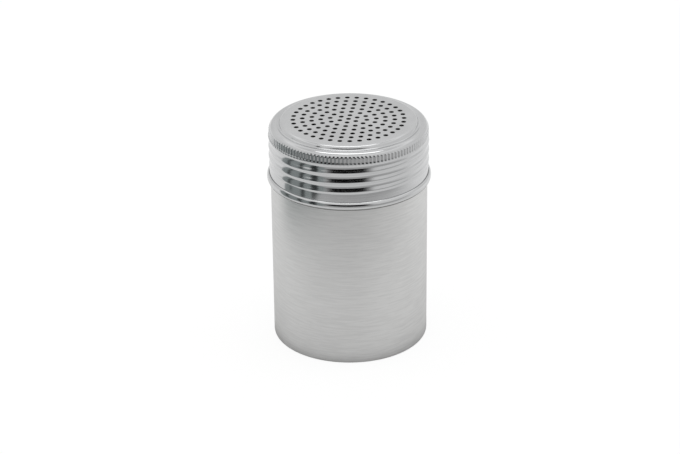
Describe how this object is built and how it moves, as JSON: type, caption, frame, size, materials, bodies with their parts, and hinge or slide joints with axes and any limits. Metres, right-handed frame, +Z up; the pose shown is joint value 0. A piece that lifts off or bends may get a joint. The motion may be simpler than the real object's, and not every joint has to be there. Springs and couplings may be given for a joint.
{
  "type": "spice shaker",
  "caption": "Round steel spice shaker: a straight drawn cup with a screw-on lid that has a raised perforated top, grip ridges, rolled thread and rolled edge.",
  "frame": {"origin": "middle of the cup's base, on the surface it stands on", "axes": "+Z up along the shaker's axis, towards the perforated plate; -Y is the side that the picture shows; +X to the right"},
  "size_m": [0.0696, 0.0696, 0.0988],
  "materials": {
    "cup_steel": "satin, lightly brushed round the wall",
    "lid_steel": "polished"
  },
  "bodies": {
    "cup": {"cup": "cup_steel"},
    "lid_edge": {"lid_rolled_edge": "lid_steel"},
    "lid": {"lid_shell": "lid_steel"}
  },
  "joints": [
    {"name": "lid_rise", "type": "slide", "parent": "cup", "child": "lid_edge", "axis": [0, 0, 1], "range_m": [0, 0.0343]},
    {"name": "lid_turn", "type": "hinge", "parent": "lid_edge", "child": "lid", "pos_m": [0, 0, 0.0858], "axis": [0, 0, 1], "range_deg": [0, 2880]}
  ],
  "couplings": [
    {"joint": "lid_rise", "follows": "lid_turn", "m_per_rad": 0.00068118}
  ]
}
